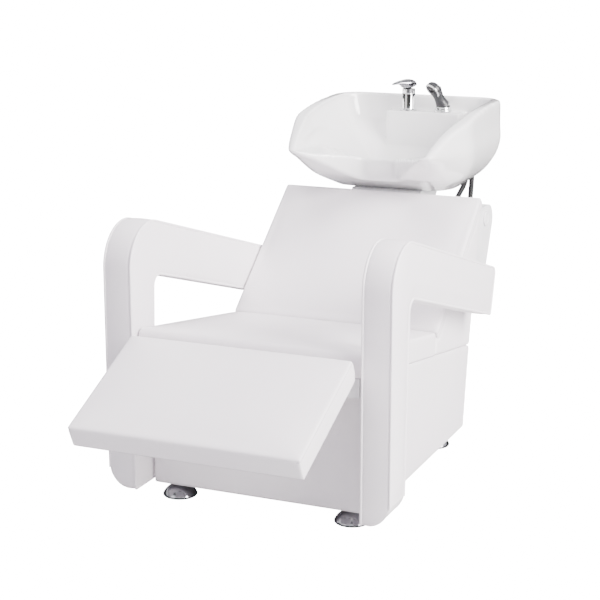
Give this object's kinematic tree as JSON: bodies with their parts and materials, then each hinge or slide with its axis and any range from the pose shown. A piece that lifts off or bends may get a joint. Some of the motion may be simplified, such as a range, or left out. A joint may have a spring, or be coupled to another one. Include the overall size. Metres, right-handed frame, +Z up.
{
  "type": "hair washing bed",
  "caption": "Salon hair washing bed: reclined padded seat with upholstered arms and hinged leg rest, and a tilting ceramic neck basin with lever mixer and hand shower behind.",
  "frame": {"origin": "on the floor, under the centre of the whole piece's bounding box", "axes": "+Z up, +Y from the leg rest towards the basin, +X to the right for someone who looks from the leg rest towards the basin"},
  "size_m": [0.68, 1.4609, 0.8757],
  "materials": {
    "upholstery": "smooth artificial leather",
    "plywood": "raw plywood",
    "ceramic": "gloss white glaze",
    "cover": "satin white",
    "chrome": "polished",
    "steel": "zinc plated",
    "frame_paint": "satin black",
    "handle_plastic": "dark grey",
    "dark_plastic": "black",
    "black_rubber": "matt black"
  },
  "bodies": {
    "bed": {"arm_left": "upholstery", "arm_right": "upholstery", "arm_bolts": "steel", "base_box": "upholstery", "floor_board": "plywood", "feet": "chrome", "foot_stems": "steel", "foot_nuts": "steel", "seat_board": "plywood", "seat_cushion": "upholstery", "seat_rail": "cover", "rail_gussets": "plywood", "back_wedge": "upholstery", "back_cushion": "upholstery", "hinge_fixed_leaves": "steel", "hinge_pins": "steel", "rear_housing": "cover", "grommets": "black_rubber", "tilt_uprights": "frame_paint", "tilt_axle": "steel", "axle_caps": "cover", "supply_hoses": "black_rubber", "hose_unions": "steel"},
    "leg_rest": {"legrest_board": "plywood", "legrest_cushion": "upholstery", "hinge_moving_leaves": "steel"},
    "basin_unit": {"cradle": "cover", "basin": "ceramic", "drain_strainer": "chrome", "drain_cup": "dark_plastic", "waste_hose": "black_rubber", "mixer_body": "chrome", "mixer_mark": "dark_plastic", "shower_ring": "chrome", "tap_nuts": "steel"},
    "mixer_head": {"mixer_cap": "chrome", "lever_pin": "steel"},
    "mixer_handle": {"mixer_lever": "chrome"},
    "hand_shower": {"shower_handle": "handle_plastic", "shower_face": "dark_plastic", "shower_hose": "black_rubber"}
  },
  "joints": [
    {"name": "leg_rest_hinge", "type": "hinge", "parent": "bed", "child": "leg_rest", "pos_m": [0, -0.4312, 0.35852], "axis": [1, 0, 0], "range_deg": [-25, 65]},
    {"name": "basin_tilt", "type": "hinge", "parent": "bed", "child": "basin_unit", "pos_m": [0, 0.5083, 0.536], "axis": [-1, 0, 0], "range_deg": [0, 6]},
    {"name": "mixer_turn", "type": "hinge", "parent": "basin_unit", "child": "mixer_head", "pos_m": [-0.026, 0.6813, 0.838], "axis": [0, 0, 1], "range_deg": [-45, 45]},
    {"name": "mixer_lift", "type": "hinge", "parent": "mixer_head", "child": "mixer_handle", "pos_m": [-0.026, 0.6813, 0.8493], "axis": [-0.8192, 0.5736, 0], "range_deg": [0, 20]},
    {"name": "shower_lift", "type": "slide", "parent": "basin_unit", "child": "hand_shower", "axis": [0, 0, 1], "range_m": [0, 0.05]}
  ]
}
